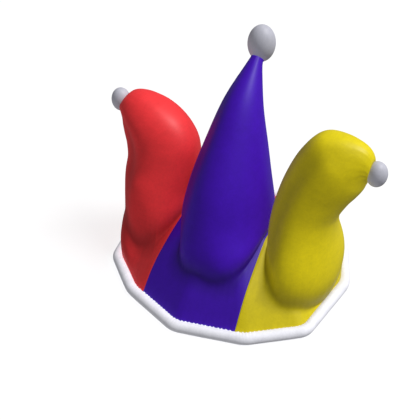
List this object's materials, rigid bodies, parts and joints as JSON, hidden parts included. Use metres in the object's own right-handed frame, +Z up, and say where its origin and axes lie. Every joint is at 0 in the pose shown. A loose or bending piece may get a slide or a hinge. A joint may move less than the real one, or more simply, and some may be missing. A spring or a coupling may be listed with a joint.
{
  "type": "jester hat",
  "caption": "Cloth jester hat with a padded rim roll, a low crown of coloured felt panels and tall stuffed points that bend back and outwards, each with a ball at its tip.",
  "frame": {"origin": "under the middle of the hat, at the bottom centre of its bounding box, on the surface that the rim rests on", "axes": "+Z up; the front of the hat, where the blue point stands, faces -Y; the yellow point reaches out along +X and the red one along -X"},
  "size_m": [0.2378, 0.2022, 0.2019],
  "materials": {
    "rim": "matte",
    "red": "matte",
    "blue": "matte",
    "yellow": "matte",
    "ball": "satin"
  },
  "bodies": {
    "root": {"rim": "rim", "red_point": "red", "blue_point": "blue", "yellow_point": "yellow", "ball_red": "ball", "ball_blue": "ball", "ball_yellow": "ball"}
  },
  "joints": []
}
